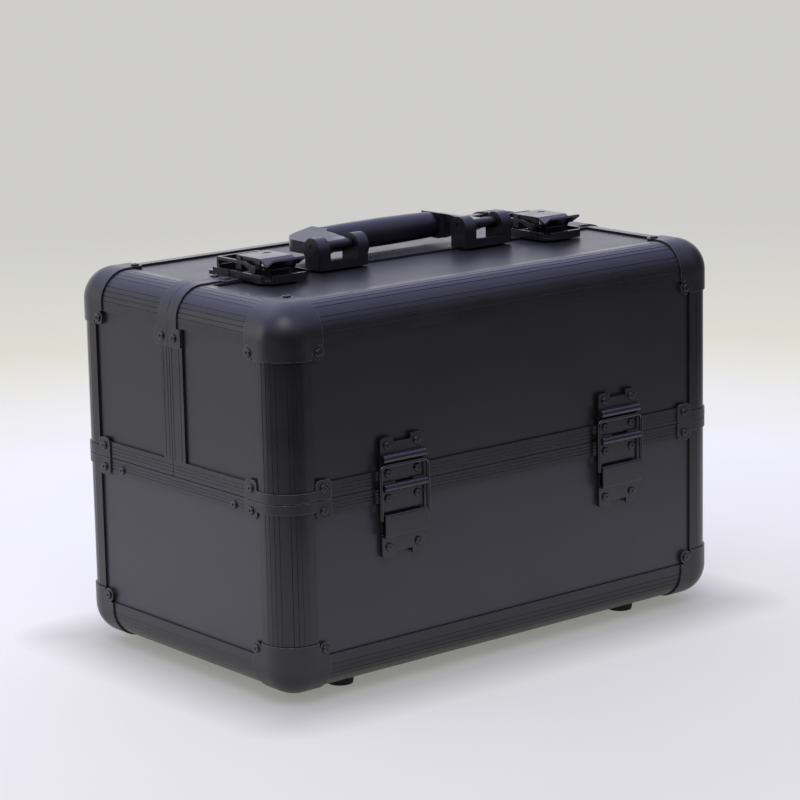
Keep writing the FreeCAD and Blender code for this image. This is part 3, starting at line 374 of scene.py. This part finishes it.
MATERIALS = {
    "rail": anodised("anodised_rail", (0.011, 0.010, 0.011), RAIL_EDGE),
    "lid_board": board("pebbled_lid_board", (0.0085, 0.0078, 0.0078), gloss=0.60),
    # The base's boards are lighter than the lid's as painted light: the bright floor's reflection
    # in the lower faces.
    "base_board_painted_lighter": board("pebbled_base_board", (0.024, 0.023, 0.028), gloss=0.60),
    "cap": lacquered("satin_cap", (0.011, 0.010, 0.010), CAP_EDGE,
                     rough=0.33, gloss=0.6, peel_size=1.6, rubbed_and_highlit_width=0.4),
    "hardware": lacquered("gloss_hardware", (0.008, 0.008, 0.010), LATCH_EDGE,
                          rough=0.22, gloss=0.7, peel_size=4.0, rubbed_and_highlit_width=0.3),
    "plastic": moulded("handle_plastic", (0.009, 0.009, 0.011), rough=0.24),
    "grip": moulded("handle_grip_plastic", (0.014, 0.013, 0.017),
                    rough=0.26, grain_size=0.8, grain=0.15),
    "tray": moulded("tray_plastic", (0.034, 0.034, 0.036),
                    rough=0.42, grain_size=0.6, grain=0.5),
    "rubber": moulded("foot_rubber", (0.012, 0.012, 0.012),
                      rough=0.75, grain_size=0.7, grain=0.6),
    "steel": plated_steel(),
    "foam": napped_foam(),
}

# The first words found in a node's name give its material. The rest is gloss hardware.
FINISHES = (
    ("feet", "rubber"),
    ("floor_pad", "foam"),
    ("base_long_panels", "base_board_painted_lighter"),
    ("base_end_panels", "base_board_painted_lighter"),
    ("panel", "lid_board"),
    ("_caps", "cap"),
    ("corner_plates", "cap"),
    ("straps", "cap"),
    ("tray_pivot_brackets", "steel"),
    ("_tray", "tray"),
    ("rails", "rail"),
    ("posts", "rail"),
    ("stiles", "rail"),
    ("handle_grip", "grip"),
    ("handle_frame", "plastic"),
    ("handle_brackets", "plastic"),
    ("_arms", "steel"),
    ("link_pins", "steel"),
)


def finish_of(name):
    """The key in MATERIALS for the node called name."""
    for words, finish in FINISHES:
        if words in name:
            return finish
    return "hardware"


def dress_frame():
    """Gives each carried-over CAD node its material."""
    for name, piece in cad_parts.items():
        piece.data.materials.clear()
        piece.data.materials.append(MATERIALS[finish_of(name)])


# ------------------------------------------------------------------- soft pad

def floor_pad():
    """The foam pad on the floor of the case: soft round edges and a gentle ripple."""
    low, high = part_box("floor_pad")
    mesh = bpy.data.meshes.new("foam_pad")
    shape = bmesh.new()
    across, deep = PAD_FACES
    wave_x, wave_y = PAD_WAVES
    thick = high.z - low.z
    edge = PAD_ROUNDING * thick
    grid = {}

    def height(x, y):
        """Full and rippled in the middle, and rounded down to nothing at the rim."""
        inset = min(x - low.x, high.x - x, y - low.y, high.y - y)
        rim = min(1.0, max(0.0, inset / edge))
        ripple = PAD_RIPPLE * math.sin(wave_x * x + PAD_PHASE) * math.cos(wave_y * y)
        return thick * (math.sqrt(1 - (1 - rim) ** 2) * (PAD_FULL + ripple))

    def spread(i, count, a, b):
        """Points closer together towards both ends."""
        return a + (b - a) * (1 - math.cos(math.pi * i / count)) / 2

    for i in range(across + 1):
        for j in range(deep + 1):
            x = spread(i, across, low.x, high.x)
            y = spread(j, deep, low.y, high.y)
            grid[i, j, 1] = shape.verts.new((x, y, low.z + height(x, y)))
            on_rim = i in (0, across) or j in (0, deep)
            grid[i, j, 0] = grid[i, j, 1] if on_rim else shape.verts.new((x, y, low.z))
    for i in range(across):
        for j in range(deep):
            for level in (0, 1):
                corners = [grid[i, j, level], grid[i + 1, j, level],
                           grid[i + 1, j + 1, level], grid[i, j + 1, level]]
                shape.faces.new(corners if level else corners[::-1])
    for face in shape.faces:
        face.smooth = True
    shape.to_mesh(mesh)
    shape.free()
    pad = bpy.data.objects.new("foam_pad", mesh)
    bpy.context.scene.collection.objects.link(pad)
    mesh.materials.append(MATERIALS["foam"])
    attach(pad, "case")
    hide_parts("floor_pad")


# --------------------------------------------------------- floor, light, camera

def floor():
    """A pale round floor, just below the feet."""
    mesh = bpy.data.meshes.new("floor")
    shape = bmesh.new()
    bmesh.ops.create_circle(shape, cap_ends=True, segments=96, radius=FLOOR_RADIUS)
    shape.to_mesh(mesh)
    shape.free()
    plane = bpy.data.objects.new("floor", mesh)
    plane.location.z = CAD_BOX[0].z - FLOOR_DROP
    bpy.context.scene.collection.objects.link(plane)
    mesh.materials.append(floor_material())


def room():
    """A room that is plain and pale to the camera, and lights the case unevenly."""
    world = bpy.data.worlds.new("room")
    bpy.context.scene.world = world
    world.use_nodes = True
    tree = world.node_tree
    direction = node(tree, "TexCoord").outputs["Generated"]
    up = node(tree, "SeparateXYZ", {"Vector": direction}).outputs["Z"]
    # What the camera sees beyond the floor.
    seen = mixed(tree, ranged(tree, up, *WALL_TURN), WALL_GREY, WALL_CREAM)
    # What lights the case: brightest behind it, and dim in front.
    toward = vector_node(tree, "DOT_PRODUCT", direction, BRIGHT_WAY).outputs["Value"]
    lit = mixed(tree, ranged(tree, toward, -0.55, 1.0), DIM_WALL, BRIGHT_WALL)
    # Violet from above.
    lit = mixed(tree, ranged(tree, up, 0.22, 0.6, 0.0, 0.9), lit, VIOLET_CEILING)
    # Dark brown on the right, which keeps that end of the case dark.
    rightward = vector_node(tree, "DOT_PRODUCT", direction, RIGHT_WAY).outputs["Value"]
    lit = mixed(tree, ranged(tree, rightward, 0.62, 0.90, 0.0, 0.9), lit, BROWN_WALL)
    camera_ray = node(tree, "LightPath").outputs["Is Camera Ray"]
    background = tree.nodes["Background"]
    tree.links.new(mixed(tree, camera_ray, lit, seen), background.inputs["Color"])


def softbox(name, place, size, power, colour):
    """A soft rectangular light at place that points at the middle of the case."""
    light = bpy.data.lights.new(name, "AREA")
    light.shape = "RECTANGLE"
    light.size, light.size_y = size
    light.energy = power
    light.color = colour
    lamp = bpy.data.objects.new(name, light)
    lamp.location = place
    lamp.rotation_mode = "QUATERNION"
    lamp.rotation_quaternion = (CENTRE - Vector(place)).to_track_quat("-Z", "Y")
    bpy.context.scene.collection.objects.link(lamp)


def lights():
    """Violet from above, cool white from behind on the left, and warm from the front."""
    softbox("over_light", (-0.2, 0.8, 1.9), size=(2.0, 1.5), power=8.0, colour=(0.74, 0.74, 1.0))
    softbox("left_light", (-1.9, 1.2, 0.6), size=(1.0, 1.2), power=6.0, colour=(0.92, 0.93, 1.0))
    softbox("warm_fill", (-0.75, -0.85, 1.5), size=(0.8, 0.8), power=6.0, colour=(1.0, 0.95, 0.66))


def camera():
    """Makes the scene's camera."""
    data = bpy.data.cameras.new("camera")
    data.lens = CAMERA_LENS
    data.sensor_width = CAMERA_SENSOR
    data.shift_x, data.shift_y = CAMERA_SHIFT
    data.dof.use_dof = False
    made = bpy.data.objects.new("camera", data)
    made.location = CAMERA_PLACE
    angles = (CAMERA_TILT, CAMERA_ROLL, CAMERA_TURN)
    made.rotation_euler = [math.radians(a) for a in angles]
    bpy.context.scene.collection.objects.link(made)
    bpy.context.scene.camera = made


dress_frame()
floor_pad()
floor()
room()
lights()
camera()
bpy.context.scene.view_settings.view_transform = "Standard"
